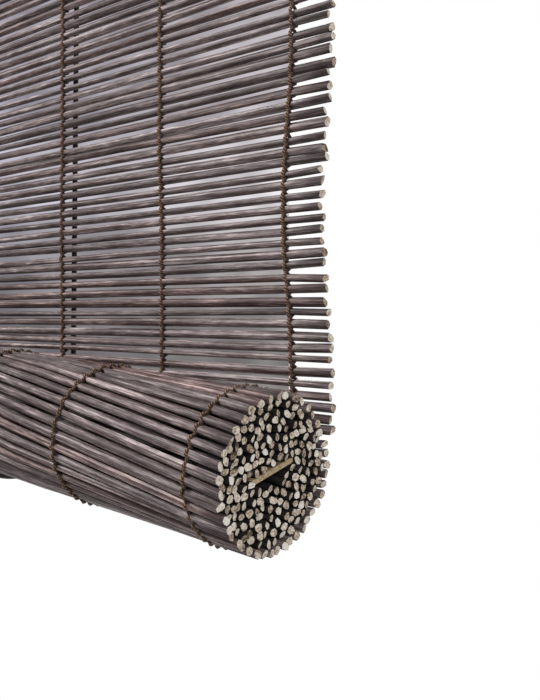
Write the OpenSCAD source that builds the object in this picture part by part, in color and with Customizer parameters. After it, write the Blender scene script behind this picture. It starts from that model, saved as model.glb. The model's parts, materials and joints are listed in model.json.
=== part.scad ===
// Reed blind that rolls up from its lower end.
// A mat of thin reeds, sewn together by warp threads, hangs from a headrail and is wound
// round a flat slat at the bottom. Two lift cords carry the roll: each is tied to an eye in
// front, passes under the roll and rises behind the mat to a pulley under the headrail.
// Units are millimetres. X runs along the reeds, +Y points to the wall and +Z up.
// The origin lies on the wall, midway between the two wall screw holes.

/* [Reeds] */
// Length of a reed, which is the width of the blind
reed_len = 600; // [560:10:900]
// Diameter of a reed
reed_d = 3.2; // [2.8:0.1:3.4]
// Distance from one reed to the next along the mat
reed_pitch = 4.9; // [4.9:0.1:6]
// How far the reed ends stagger
reed_stagger = 2.4; // [0.4:0.1:3]
// Number of reeds that hang at their full length
hanging_reeds = 112; // [80:1:112]

/* [Warp threads] */
// Number of warps, the rows of thread that sew the reeds together
warp_count = 8; // [6:1:9]
// Distance from the mean reed end to the outermost warp
warp_inset = 20; // [14:1:40]
// Thickness of the thread over a reed
thread_t = 0.45; // [0.3:0.05:0.5]
// Width of a warp along the reeds
thread_w = 1.4; // [0.8:0.1:2]

/* [Roll] */
// Diameter of the roll over its outer reeds
roll_d = 67; // [66:0.5:90]
// Turns of mat in the roll
roll_turns = 6; // [5:1:7]
// Angle by which the right end of the roll hangs lower
roll_lean = 3.5; // [1:0.5:4]
// Width of the slat that ends the mat, in the middle of the roll
slat_w = 25; // [16:1:26]
// Thickness of that slat
slat_t = 2.5; // [2:0.5:4]
// Angle at which the slat lies, rising towards the wall
slat_tilt = 20; // [0:1:40]
// Length over which the reed ends stand free of one another
bare_end = 6; // [4:0.5:12]
// How far the slat ends lie inside the mean reed ends
slat_inset = 2; // [1:0.5:5]

/* [Headrail] */
// Height of the headrail and of the slat that covers it
rail_h = 25; // [25:1:40]
// Depth of the headrail
rail_depth = 20; // [20:1:30]
// Thickness of the cover slat
cover_t = 3; // [2:0.5:5]
// Diameter of the nails that hold the cover slat
nail_d = 1.4; // [1:0.1:1.5]
// Diameter of a nail head
nail_head_d = 3.6; // [2.5:0.1:5]

/* [Hangers] */
// Distance of a wall screw hole from the end of the headrail
hanger_inset = 80; // [40:10:110]
// Diameter of a wall screw hole
wall_hole_d = 5; // [4:0.5:6]
// Height of the wall screw holes above the headrail
hole_rise = 16; // [12:1:24]
// Width of a hanger plate
plate_w = 20; // [16:1:30]
// Thickness of a hanger plate
plate_t = 2; // [2:0.5:4]

/* [Lift cords] */
// Diameter of a lift cord
cord_d = 2.5; // [1.8:0.1:2.8]
// Distance of a lift cord from the third warp, outwards
cord_offset = 4; // [3:0.5:12]
// Radius of the ring of a front eye, to the middle of its wire
eye_r = 4.5; // [4:0.5:7]
// Wire diameter of a front eye
eye_wire_d = 1.5; // [1.2:0.1:1.6]

/* [Pulleys and lock] */
// Radius at which the cord lies in a pulley
groove_r = 6; // [5:0.5:9]
// Radius of a pulley pin
pin_r = 1.5; // [1:0.1:2]
// Thickness of the pulley and lock straps
strap_t = 1.2; // [0.8:0.1:2]
// Distance of the cord lock from the left reed ends
lock_inset = 32; // [26:1:50]
// Radius of the lock cam
cam_r = 4; // [3.5:0.5:6]
// Length of the lever of the lock cam below its pin
lever_len = 16; // [12:1:24]

/* [Hidden] */
$fn = 48;
// Gap between a thread and the reed in it
fit = 0.05;
// Gap between the sewn mat and the wood that clamps it
seat_gap = 0.05;
// Thickness of the thread where it crosses between two reeds
link_t = 0.9;
// Gap round a nail, a screw or an eye in its hole
hole_gap = 0.05;
// Gap between a lift cord and the roll that lies in it
cord_gap = 0.3;
// Gap between two lengths of the same cord
cord_seam = 0.05;
// Gap between the slat and the hem or the reeds round it
slat_gap = 0.3;
// Height of the innermost turn over the slat, as a share of what its reeds need
core_ease = 2.2;
// Gap between a warp and the outer reeds of the roll
band_gap = 0.1;
// Thickness of a warp over the outer reeds of the roll
band_t = 0.8;
// Step, start and end of a warp round the roll, in degrees from the back
band_step = 5;
band_from = 5;
band_to = 315;
// Turns per reed by which the two ends of the reeds stagger, in degrees
stagger_right = 137.5;
stagger_left = 99;
// How deep nails, eyes and screws go into the headrail
nail_depth = 10;
eye_depth = 9;
screw_depth = 6.5;
// Height of a nail head
nail_head_t = 0.8;
// Screw shank radius, head radius and head height
screw_r = 1.2;
screw_head_r = 2.2;
screw_head_h = 1.4;
// Hanger screw: head radius and depth of the countersink
sink_r = 3.1;
sink_depth = 1.6;
// Free space round a cord that runs past another piece
cord_clear = 0.8;
// Space between a lift cord and the sides of its pulley groove, and the rims beside it
groove_gap = 0.3;
rim_t = 0.8;
// Space between a turning piece and the straps beside it
side_gap = 0.3;
// Running gap of a turning piece on its pin
run_gap = 0.05;
// Rivet head of a pin: how far it stands over the pin and how thick it is
rivet_over = 0.8;
rivet_t = 0.7;
// Width of a pulley strap and distance of its screws from the middle
strap_w = 10;
strap_screw = 8.5;
// Width of the lock strap and distance of its screws from the middle
lock_strap_w = 13;
lock_screw = 11;
// How far a base plate reaches past its screws
base_margin = 4;
// How far the cam lies off its pin, and its gap to the cords when it rests
cam_off = 1.2;
cam_gap = 0.2;
// Thickness of the lever of the cam
lever_t = 2;
// How deep a free reed end is rooted in the roll, and how much thinner it is
root = 1;
slimmer = 0.06;

// Height over the axis of the roll at which the hanging reeds end
meet_rise = 2 * reed_pitch;

// Headrail, mat and roll positions
rail_back_y = -plate_t;
rail_front_y = rail_back_y - rail_depth;
rail_mid_y = (rail_back_y + rail_front_y) / 2;
rail_top = -hole_rise;
rail_bottom = rail_top - rail_h;
eye_d = reed_d + 2 * fit + 2 * thread_t;
mat_y = rail_front_y - seat_gap - eye_d / 2;
cover_back_y = mat_y - eye_d / 2 - seat_gap;
cover_front_y = cover_back_y - cover_t;
nail_z = rail_top - 2 * reed_pitch;
eye_z = rail_top - 3 * reed_pitch;
turn_r = roll_d / 2 - reed_d / 2;
roll_y = mat_y - turn_r;

function reed_z(i) = rail_top - reed_pitch / 2 - i * reed_pitch;
function right_end(i) = reed_len / 2 + reed_stagger * sin(stagger_right * i);
function left_end(i) = -reed_len / 2 - reed_stagger * sin(stagger_left * i);
warp_pitch = (reed_len - 2 * warp_inset) / (warp_count - 1);
hanger_x = reed_len / 2 - hanger_inset;
hanger_screw_z = [rail_top - rail_h / 4, rail_bottom + rail_h / 4];
function warp_x(i) = -reed_len / 2 + warp_inset + (i - 1) * warp_pitch;
nail_x = [for (i = [1 : warp_count - 1]) warp_x(i) + warp_pitch / 2];

// The mat is wound askew: the roll takes up the lowest reeds from the left end to the right,
// so each of them hangs only right of the place where the roll takes it up
lean_slope = tan(roll_lean);
lean_start = reed_len / 2 + reed_stagger;
roll_z = reed_z(hanging_reeds - 1) - meet_rise - lean_start * lean_slope;
function roll_line(x) = roll_z - x * lean_slope;
function taken_up(i) = (roll_z + meet_rise - reed_z(i)) / lean_slope;
function hung_at(x) = hanging_reeds + floor((x - thread_w + lean_start) * lean_slope / reed_pitch);
hung_reeds = hung_at(warp_x(warp_count));

// The rolled mat is a spiral that is round outside and narrows to an oval round the slat
// The innermost turn goes round the corners of the slat, a reed's radius and a gap away
slat_len = reed_len - 2 * slat_inset;
core_b = core_ease * (slat_t / 2 + slat_gap + reed_d / 2);
core_a = (slat_w / 2 + slat_gap + reed_d / 2) / sqrt(1 - 1 / pow(core_ease, 2));
full_turn = 360;
quarter_turn = full_turn / 4;
roll_sweep = full_turn * roll_turns;
function mixed(from, to, share) = from + (to - from) * share;
function turned(p, a) = [p[0] * cos(a) - p[1] * sin(a), p[0] * sin(a) + p[1] * cos(a)];
function oval(a, b, angle) = turned([a * cos(angle), b * sin(angle)], slat_tilt);
function spiral(phi) =
    let (share = phi / roll_sweep)
    oval(mixed(turn_r, core_a, share), mixed(turn_r, core_b, share), -phi - slat_tilt);
function spiral_speed(phi) = norm(spiral(phi + 0.5) - spiral(phi - 0.5));
first_phi = -reed_pitch / spiral_speed(0);
reed_phi = [for (phi = first_phi; phi < roll_sweep; phi = phi + reed_pitch / spiral_speed(phi)) phi];
roll_reeds = [for (phi = reed_phi) spiral(phi)];
function outside(phi, rise) = spiral(phi) * (1 + rise / norm(spiral(phi)));

// Lift cord positions
function cord_x(side) = side * (warp_x(warp_count - 2) + cord_offset);
loop_r = roll_d / 2 + cord_gap + cord_d / 2;
wheel_w = cord_d + 2 * groove_gap + 2 * rim_t;
wheel_r = groove_r + rim_t;
strap_in = wheel_w + 2 * side_gap;
strap_out = strap_in + 2 * strap_t;
lane_pitch = strap_out / 2 + cord_d / 2 + 2 * cord_clear;
function lane_y(side) = rail_mid_y - side * lane_pitch / 2;
plate_z = rail_bottom - strap_t;
wheel_z = plate_z - screw_head_h - cord_clear - cord_d / 2 - groove_r;
function wheel_x(side) = cord_x(side) - groove_r;
lane_z = wheel_z + groove_r;
ring_y = cover_front_y - 2 * eye_wire_d - eye_r;
tie_r = eye_wire_d / 2 + cord_gap / 2 + cord_d / 2;
tie_z = eye_z - eye_r - tie_r;

// Angle at which a cord from a point leaves the loop round the roll, seen along the roll
function loop_center(side) = [cord_x(side), roll_y, roll_line(cord_x(side))];
function bearing(v) = atan2(v[2], v[1]);
function reach(v) = acos(loop_r / norm(v));
function to_front(side) = [cord_x(side), ring_y, tie_z] - loop_center(side);
function to_rear(side) = [cord_x(side), lane_y(side), wheel_z] - loop_center(side);
function front_angle(side) = bearing(to_front(side)) + reach(to_front(side)) - full_turn;
function rear_angle(side) = bearing(to_rear(side)) - reach(to_rear(side));
function on_loop(side, angle) = loop_center(side) + loop_r * [0, cos(angle), sin(angle)];

// Cord lock positions
lock_x = -reed_len / 2 + lock_inset;
lock_in = lane_pitch + cord_d + 2 * cord_clear;
lock_out = lock_in + 2 * strap_t;
cam_z = lane_z - cord_d / 2 - cam_gap - cam_r - cam_off;
screw_spots = [
    for (side = [-1, 1], end = [-1, 1]) [wheel_x(side) + end * strap_screw, lane_y(side)],
    for (end = [-1, 1]) [lock_x + end * lock_screw, rail_mid_y]
];

inner_warps = [for (i = [2 : warp_count - 1]) i];
all_warps = [for (i = [1 : warp_count]) i];
sides = [["left", -1], ["right", 1]];

// Shared shapes

// Extrudes a section that is drawn in Y and Z along X
module along_x(length) {
    rotate([90, 0, 90]) linear_extrude(length, center = true) children();
}

module rod_y(r, x, z, y_from, y_to) {
    translate([x, y_from, z]) rotate([90, 0, 0]) cylinder(r = r, h = y_from - y_to);
}

module rod_between(p, q, d) {
    v = q - p;
    translate(p) rotate([0, acos(v[2] / norm(v)), atan2(v[1], v[0])]) cylinder(d = d, h = norm(v));
}

// Puts what is drawn along the X axis on the axis of the roll
module on_roll() {
    translate([0, roll_y, roll_z]) rotate([0, roll_lean, 0]) children();
}

// Outline of a warp seen along the reeds: a thread eye round each reed, and the crossings between
module eye_outline(count) {
    for (i = [0 : count - 1]) translate([0, reed_z(i)]) circle(d = eye_d);
    for (i = [1 : count - 1])
        translate([-link_t / 2, reed_z(i)]) square([link_t, reed_pitch]);
}

// Headrail

// Holes for the nails and the front eyes, from a front face back to a depth
module front_holes(front_y, depth) {
    for (x = nail_x)
        rod_y(nail_d / 2 + hole_gap, x, nail_z, front_y + depth[0], front_y - seat_gap);
    for (s = sides)
        rod_y(eye_wire_d / 2 + hole_gap, cord_x(s[1]), eye_z, front_y + depth[1], front_y - seat_gap);
}

module headrail() {
    screw_hole_r = screw_r + hole_gap;
    color("#4a3528") difference() {
        translate([-reed_len / 2, rail_front_y, rail_bottom]) cube([reed_len, rail_depth, rail_h]);
        front_holes(rail_front_y, [nail_depth, eye_depth]);
        for (p = screw_spots)
            translate([p[0], p[1], rail_bottom - seat_gap])
                cylinder(r = screw_hole_r, h = screw_depth + seat_gap + hole_gap);
        for (s = sides, z = hanger_screw_z)
            rod_y(screw_hole_r, s[1] * hanger_x, z, rail_back_y + seat_gap, rail_back_y - nail_depth);
    }
}

module cover_slat() {
    through = cover_t + seat_gap;
    color("#4a3528") difference() {
        translate([-reed_len / 2, cover_front_y, rail_bottom]) cube([reed_len, cover_t, rail_h]);
        front_holes(cover_front_y, [through, through]);
    }
}

module slat_nails() {
    color("#9a8a6a") for (x = nail_x) {
        rod_y(nail_d / 2, x, nail_z, rail_front_y + nail_depth - hole_gap, cover_front_y);
        rod_y(nail_head_d / 2, x, nail_z, cover_front_y, cover_front_y - nail_head_t);
    }
}

module hanger(side) {
    x = side * hanger_x;
    color("#8d8a84") difference() {
        union() {
            translate([x - plate_w / 2, -plate_t, rail_bottom]) cube([plate_w, plate_t, -rail_bottom]);
            rod_y(plate_w / 2, x, 0, 0, -plate_t);
        }
        rod_y(wall_hole_d / 2, x, 0, plate_t, -2 * plate_t);
        for (z = hanger_screw_z) {
            rod_y(screw_r + hole_gap, x, z, plate_t, -2 * plate_t);
            translate([x, 0, z]) rotate([90, 0, 0])
                cylinder(r1 = sink_r + hole_gap, r2 = screw_r + hole_gap, h = sink_depth);
        }
    }
}

module hanger_screws() {
    head_h = sink_depth - hole_gap;
    color("#8d8a84") for (s = sides, z = hanger_screw_z)
        translate([s[1] * hanger_x, 0, z]) rotate([90, 0, 0]) {
            translate([0, 0, hole_gap]) cylinder(r1 = sink_r, r2 = screw_r, h = head_h);
            translate([0, 0, head_h]) cylinder(r = screw_r, h = nail_depth + plate_t - sink_depth);
        }
}

// Mat

// The reeds of the hanging part, held in one piece by the two outermost warps
module hanging_mat() {
    color("#7d7274") {
        for (i = [0 : hung_reeds - 1]) {
            start = max(left_end(i), taken_up(i));
            translate([start, mat_y, reed_z(i)]) rotate([0, 90, 0])
                cylinder(d = reed_d, h = right_end(i) - start);
        }
        for (x = [warp_x(1), warp_x(warp_count)])
            translate([x, mat_y, 0]) along_x(thread_w) eye_outline(hung_at(x));
    }
}

module warp(i) {
    count = hung_at(warp_x(i));
    color("#7a5c3c") translate([warp_x(i), mat_y, 0]) along_x(thread_w) difference() {
        eye_outline(count);
        for (k = [0 : count - 1])
            translate([0, reed_z(k)]) circle(d = reed_d + 2 * fit);
    }
}

// The rolled part: every turn of the mat and the hem that holds the slat, with its reed ends free
module rolled_mat() {
    last = len(roll_reeds) - 1;
    core_end = reed_len / 2 - bare_end;
    hem_edge = turned([slat_w / 2 + slat_gap + link_t / 2, 0], slat_tilt);
    color("#7d7274") on_roll() {
        along_x(2 * core_end) difference() {
            union() {
                for (p = roll_reeds) translate(p) circle(d = reed_d);
                for (k = [0 : last - 1]) link(roll_reeds[k], roll_reeds[k + 1]);
                link(roll_reeds[last], hem_edge);
                slat_outline(slat_gap + link_t);
            }
            slat_outline(slat_gap);
        }
        for (k = [0 : last]) {
            reed_end(roll_reeds[k], core_end - root, right_end(hung_reeds + k));
            reed_end(roll_reeds[k], left_end(hung_reeds + k), root - core_end);
        }
    }
}

module slat_outline(margin) {
    rotate(slat_tilt) square([slat_w + 2 * margin, slat_t + 2 * margin], center = true);
}

module reed_end(p, x_from, x_to) {
    translate([x_from, p[0], p[1]]) rotate([0, 90, 0]) cylinder(d = reed_d - slimmer, h = x_to - x_from);
}

// Thread between two neighbouring reeds of a turn
module link(p, q) {
    side = [q[1] - p[1], p[0] - q[0]] * link_t / 2 / norm(q - p);
    polygon([p + side, q + side, q - side, p - side]);
}

module bottom_slat() {
    color("#a5865c") on_roll() along_x(slat_len) slat_outline(0);
}

// A warp where it lies over the outer reeds of the roll
module roll_warp(i) {
    steps = [band_from : band_step : band_to];
    inner = [for (phi = steps) outside(phi, reed_d / 2 + band_gap)];
    outer = [for (phi = steps) outside(phi, reed_d / 2 + band_gap + band_t)];
    last = len(outer) - 1;
    back = [for (k = [0 : last]) outer[last - k]];
    color("#7a5c3c") on_roll() translate([warp_x(i), 0, 0]) along_x(thread_w) polygon(concat(inner, back));
}

// Lift cords

// Part of a ring of cord in the plane that a turn about X sweeps
module cord_arc(center, r, from, to) {
    translate(center) rotate([90, 0, 90]) rotate(from)
        rotate_extrude(angle = to - from) translate([r, 0]) circle(d = cord_d);
}

module front_eye(side) {
    x = cord_x(side);
    color("#b08d4a") {
        translate([x, ring_y, eye_z]) rotate([0, 90, 0])
            rotate_extrude() translate([eye_r, 0]) circle(d = eye_wire_d);
        rod_y(eye_wire_d / 2, x, eye_z, rail_front_y + eye_depth - hole_gap, ring_y + eye_r);
    }
}

module front_cord(side) {
    x = cord_x(side);
    top = [x, ring_y, tie_z];
    bottom = on_loop(side, front_angle(side));
    seam = (top - bottom) * cord_seam / norm(top - bottom);
    color("#33231a") {
        translate([x, ring_y, eye_z - eye_r]) rotate([90, 0, 0])
            rotate_extrude() translate([tie_r, 0]) circle(d = cord_d);
        rod_between(top, bottom + seam, cord_d);
    }
}

module roll_loop(side) {
    color("#33231a") cord_arc(loop_center(side), loop_r, front_angle(side), rear_angle(side));
}

module rear_cord(side) {
    bottom = on_loop(side, rear_angle(side));
    top = [cord_x(side), lane_y(side), wheel_z];
    seam = (top - bottom) * cord_seam / norm(top - bottom);
    color("#33231a") rod_between(bottom + seam, top - seam, cord_d);
}

// The cord over its pulley and along the headrail to the lock
module rail_cord(side) {
    end_x = lock_x - lock_strap_w / 2;
    color("#33231a") {
        translate([wheel_x(side), lane_y(side), wheel_z]) rotate([90, 0, 0])
            rotate_extrude(angle = quarter_turn) translate([groove_r, 0]) circle(d = cord_d);
        translate([end_x, lane_y(side), lane_z]) rotate([0, 90, 0])
            cylinder(d = cord_d, h = wheel_x(side) - end_x);
    }
}

// Pulleys and lock

// A folded strap: a base plate under the headrail and two cheeks that hold a pin
module strap(x, y, axis_z, inside, outside, cheek_w, screw_at) {
    base_len = 2 * (screw_at + base_margin);
    cheek_h = plate_z - axis_z + strap_t / 2;
    difference() {
        union() {
            translate([x - base_len / 2, y - outside / 2, plate_z]) cube([base_len, outside, strap_t]);
            for (edge = [y - outside / 2, y + inside / 2]) {
                translate([x - cheek_w / 2, edge, axis_z]) cube([cheek_w, strap_t, cheek_h]);
                rod_y(cheek_w / 2, x, axis_z, edge + strap_t, edge);
            }
        }
        rod_y(pin_r + hole_gap, x, axis_z, y + outside, y - outside);
        for (end = [-1, 1])
            translate([x + end * screw_at, y, plate_z - strap_t])
                cylinder(r = screw_r + hole_gap, h = 3 * strap_t);
    }
}

module pin(x, y, axis_z, outside) {
    reach_y = (outside + rivet_t) / 2;
    rod_y(pin_r, x, axis_z, y + reach_y, y - reach_y);
    for (edge = [y + outside / 2, y - outside / 2 - rivet_t])
        rod_y(pin_r + rivet_over, x, axis_z, edge + rivet_t, edge);
}

module pulley_strap(side) {
    color("#9b8b63")
        strap(wheel_x(side), lane_y(side), wheel_z, strap_in, strap_out, strap_w, strap_screw);
}

// A wheel with a groove that is round at the bottom and straight up to the rim
module pulley_wheel(side) {
    bore_r = pin_r + run_gap;
    hollow_r = cord_d / 2 + groove_gap;
    color("#e4dfd2") translate([wheel_x(side), lane_y(side), wheel_z]) rotate([90, 0, 0])
        rotate_extrude() difference() {
            translate([bore_r, -wheel_w / 2]) square([wheel_r - bore_r, wheel_w]);
            translate([groove_r, 0]) circle(r = hollow_r);
            translate([groove_r, -hollow_r]) square(2 * hollow_r);
        }
}

module pulley_pin(side) {
    color("#8d8a84") pin(wheel_x(side), lane_y(side), wheel_z, strap_out);
}

module fitting_screws() {
    color("#8d8a84") for (p = screw_spots) translate([p[0], p[1], plate_z]) {
        cylinder(r = screw_r, h = strap_t + screw_depth);
        translate([0, 0, -screw_head_h]) cylinder(r = screw_head_r, h = screw_head_h);
    }
}

module lock_strap() {
    color("#9b8b63")
        strap(lock_x, rail_mid_y, cam_z, lock_in, lock_out, lock_strap_w, lock_screw);
}

module lock_cam() {
    cam_w = lock_in - 2 * side_gap;
    color("#e4dfd2") difference() {
        union() {
            rod_y(cam_r, lock_x, cam_z + cam_off, rail_mid_y + cam_w / 2, rail_mid_y - cam_w / 2);
            translate([lock_x - lever_t / 2, rail_mid_y - cam_w / 2, cam_z - lever_len])
                cube([lever_t, cam_w, lever_len]);
        }
        rod_y(pin_r + run_gap, lock_x, cam_z, rail_mid_y + cam_w, rail_mid_y - cam_w);
    }
}

module lock_pin() {
    color("#8d8a84") pin(lock_x, rail_mid_y, cam_z, lock_out);
}

headrail();
cover_slat();
slat_nails();
hanger_screws();
hanging_mat();
for (i = inner_warps) warp(i);
rolled_mat();
bottom_slat();
for (i = all_warps) roll_warp(i);
for (s = sides) hanger(s[1]);
for (s = sides) front_eye(s[1]);
for (s = sides) front_cord(s[1]);
for (s = sides) roll_loop(s[1]);
for (s = sides) rear_cord(s[1]);
for (s = sides) rail_cord(s[1]);
for (s = sides) pulley_strap(s[1]);
for (s = sides) pulley_wheel(s[1]);
for (s = sides) pulley_pin(s[1]);
fitting_screws();
lock_strap();
lock_cam();
lock_pin();
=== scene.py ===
# %% [markdown]
# # A bamboo blind, rolled up from its lower end
#
# The blind is a mat of thin stained bamboo reeds. Rows of twined thread, the warps, sew the reeds
# together, and the lower part of the mat is wound round a flat slat. The solids of the part give
# the places and the main sizes. Here each reed, thread and cord is made again with the detail that
# the solids leave out, and every surface gets its finish.

# %% Load the frame
import json
import math
import random

import bmesh
import bpy
from mathutils import Matrix, Vector

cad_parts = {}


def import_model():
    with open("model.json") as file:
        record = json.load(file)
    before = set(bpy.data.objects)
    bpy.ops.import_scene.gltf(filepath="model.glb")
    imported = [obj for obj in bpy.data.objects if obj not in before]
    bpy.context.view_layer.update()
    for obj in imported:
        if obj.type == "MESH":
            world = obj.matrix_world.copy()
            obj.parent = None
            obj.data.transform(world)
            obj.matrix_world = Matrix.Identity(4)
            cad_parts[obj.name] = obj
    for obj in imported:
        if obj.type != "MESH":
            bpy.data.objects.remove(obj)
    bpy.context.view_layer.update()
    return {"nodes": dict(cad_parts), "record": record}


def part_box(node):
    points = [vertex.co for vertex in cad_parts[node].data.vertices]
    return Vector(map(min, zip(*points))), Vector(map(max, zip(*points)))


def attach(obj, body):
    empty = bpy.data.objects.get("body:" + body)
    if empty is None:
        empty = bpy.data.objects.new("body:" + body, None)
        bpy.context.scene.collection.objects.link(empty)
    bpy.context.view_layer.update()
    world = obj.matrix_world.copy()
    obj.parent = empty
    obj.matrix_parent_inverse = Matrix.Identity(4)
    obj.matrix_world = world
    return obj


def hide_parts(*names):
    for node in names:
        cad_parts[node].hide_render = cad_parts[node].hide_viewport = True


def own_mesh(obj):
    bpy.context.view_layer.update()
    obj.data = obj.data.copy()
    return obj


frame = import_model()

mm = 0.001
joints = {joint["name"]: joint for joint in frame["record"]["behaviour"]["joints"]}
print("nodes:", len(frame["nodes"]), "joints:", sorted(joints))

# %% [markdown]
# ## Camera
#
# The photograph looks at the right end of the roll from below the headrail, turned a good forty
# degrees from the wall. The camera is level, so the warps stay upright, and a small shift takes the
# place of a tilt.

# %% Camera
camera_rise = 0.0418
camera_place = (0.5075, -0.3027, joints["roll_turn"]["pos_m"][2] + camera_rise)
camera_turn = math.radians(40.6)
camera_lens = 43.4
camera_shift = -0.05

camera = bpy.data.objects.new("camera", bpy.data.cameras.new("camera"))
camera.location = camera_place
camera.rotation_euler = (math.radians(90), 0, camera_turn)
camera.data.lens = camera_lens
camera.data.shift_y = camera_shift
bpy.context.scene.collection.objects.link(camera)
bpy.context.scene.camera = camera
bpy.context.scene.view_settings.view_transform = "Standard"
print("camera at", camera_place)

# %% [markdown]
# ## Finishes
#
# A finish is a small network of nodes. Written as sums it reads like a recipe, so one class wraps a
# socket and adds a Math node for each sign in an expression. Its method called node makes any other.

# %% A socket that can be added and multiplied
class Wire:
    """A shader socket that takes part in sums."""

    def __init__(self, tree, socket):
        self.tree = tree
        self.socket = socket

    @classmethod
    def node(cls, tree, kind, settings=None, values=None, output=0):
        """A new node: its settings first, then the values or links of its sockets."""
        made = tree.nodes.new(kind)
        for name, value in (settings or {}).items():
            if name == "stops":
                elements = made.color_ramp.elements
                elements.remove(elements[-1])
                elements[0].position, elements[0].color = value[0][0], (*value[0][1], 1)
                for place, shade in value[1:]:
                    elements.new(place).color = (*shade, 1)
            else:
                setattr(made, name, value)
        for name, value in (values or {}).items():
            socket = made.inputs[name]
            if isinstance(value, Wire):
                tree.links.new(value.socket, socket)
            elif socket.type == "RGBA":
                socket.default_value = (*value, 1)
            else:
                socket.default_value = value
        return cls(tree, made.outputs[output])

    def maths(self, operation, left, right=0.0):
        return Wire.node(self.tree, "ShaderNodeMath", {"operation": operation}, {0: left, 1: right})

    def __add__(self, other):
        return self.maths("ADD", self, other)

    def __sub__(self, other):
        return self.maths("SUBTRACT", self, other)

    def __mul__(self, other):
        return self.maths("MULTIPLY", self, other)

    __radd__ = __add__


def paint(red, green, blue):
    """A colour as nodes take it, from the 0 to 255 values that a screen shows."""
    shares = [value / 255 for value in (red, green, blue)]
    return tuple(s / 12.92 if s <= 0.04045 else ((s + 0.055) / 1.055) ** 2.4 for s in shares)


print("white is", paint(255, 255, 255))


# %% Helpers that every finish uses
def begin(name, **fixed):
    """A new finish and its shader, with the values that are the same all over."""
    made = bpy.data.materials.new(name)
    made.use_nodes = True
    shader = made.node_tree.nodes["Principled BSDF"]
    for socket, value in fixed.items():
        shader.inputs[socket.replace("_", " ").capitalize()].default_value = value
    return made, made.node_tree, shader


def noise(tree, stretch, detail=3.0, roughness=0.55, place=None):
    """Noise with this many waves to the metre along each axis, of the piece or of another place."""
    place = place or Wire.node(tree, "ShaderNodeTexCoord", output="Object")
    scaled = Wire.node(tree, "ShaderNodeMapping", values={"Vector": place, "Scale": stretch})
    values = {"Vector": scaled, "Scale": 1.0, "Detail": detail, "Roughness": roughness}
    return Wire.node(tree, "ShaderNodeTexNoise", values=values)


def ramp(tree, factor, *stops):
    return Wire.node(tree, "ShaderNodeValToRGB", {"stops": stops}, {"Fac": factor})


def mixed(tree, factor, first, second, way="MIX"):
    settings = {"data_type": "RGBA", "blend_type": way}
    return Wire.node(tree, "ShaderNodeMix", settings, {0: factor, 6: first, 7: second}, output=2)


def end(tree, shader, colour=None, roughness=None, height=None, depth=0.1 * mm, strength=0.5):
    """Links what varies over the surface to the shader."""
    for socket, wire in (("Base Color", colour), ("Roughness", roughness)):
        if wire is not None:
            tree.links.new(wire.socket, shader.inputs[socket])
    if height is not None:
        values = {"Height": height, "Distance": depth, "Strength": strength}
        bump = Wire.node(tree, "ShaderNodeBump", values=values)
        tree.links.new(bump.socket, shader.inputs["Normal"])


# %% [markdown]
# ### Stained reed
#
# A reed is a split stick of bamboo, so fine dark and light streaks run along it. The stain takes
# unevenly, which leaves long pale and dark stretches, and no two reeds are alike. The streaks are
# noise that is stretched along the reed. Each vertex carries its place on the straight reed, so the
# streaks follow the reed where it bends, and two numbers of its reed: how light it is and how red.
# How light it is holds its own random tone and painted shade, darker inside the roll and at the ends.

# %% Finish of the reeds
def carried(tree, name, output="Fac"):
    return Wire.node(tree, "ShaderNodeAttribute", {"attribute_name": name}, output=output)


def reed_skin():
    made, tree, shader = begin("reed_skin")
    place = carried(tree, "grain", "Vector")
    streak = noise(tree, (11, 1000, 1000), 3.0, 0.7, place)
    fleck = noise(tree, (110, 1500, 1500), 2.0, 0.7, place)
    cloud = noise(tree, (30, 130, 130), 2.0, 0.5, place)
    value = streak * 0.45 + fleck * 0.33 + cloud * 0.22
    wood = ramp(tree, value, (0.40, paint(46, 33, 31)), (0.47, paint(82, 68, 67)),
                (0.53, paint(114, 101, 101)), (0.62, paint(188, 175, 173)))
    reddened = mixed(tree, carried(tree, "red"), wood, (0.92, 0.76, 0.72), "MULTIPLY")
    # The light number scales the colour: random tone of each reed, and painted shade inside the roll and at
    # the reed ends.
    shaded = Wire.node(tree, "ShaderNodeVectorMath", {"operation": "SCALE"},
                       {0: reddened, "Scale": carried(tree, "light")})
    matt = 0.84 + streak * 0.30 - carried(tree, "light") * 0.5
    end(tree, shader, shaded, matt, streak + fleck * 0.6, 0.25 * mm, 0.8)
    return made


# %% Finish of the cut ends
def reed_cut():
    made, tree, shader = begin("reed_cut", roughness=0.8)
    place = carried(tree, "grain", "Vector")
    pores = noise(tree, (100, 1100, 1100), 3.0, 0.7, place)
    cloud = noise(tree, (20, 90, 90), 1.0, 0.5, place)
    value = pores * 0.55 + cloud * 0.45
    pith = ramp(tree, value, (0.36, paint(74, 56, 43)), (0.45, paint(178, 158, 136)),
                (0.52, paint(228, 214, 194)), (0.60, paint(252, 246, 236)))
    end(tree, shader, pith, None, pores, 0.3 * mm, 0.8)
    return made


# %% [markdown]
# ### Twisted thread and braided cord
#
# Thread is two plies that are twisted, and a cord is a braid. Both patterns follow the tube, so they
# are read from its map: U is the distance along it in millimetres and V the share of the way round.
# The front thread of a warp is tan. The one behind it is the same thread made darker, painted shade
# for where it lies behind the reeds and in the gaps.

# %% Finishes of threads and cords
def tube_map(tree):
    """U and V of the map, each as a wire."""
    place = Wire.node(tree, "ShaderNodeUVMap")
    return [Wire.node(tree, "ShaderNodeSeparateXYZ", values={0: place}, output=axis) for axis in (0, 1)]


def wave(turns):
    """A wave between 0 and 1 that repeats with each whole turn."""
    return turns.maths("SINE", turns * (2 * math.pi)) * 0.5 + 0.5


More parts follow.
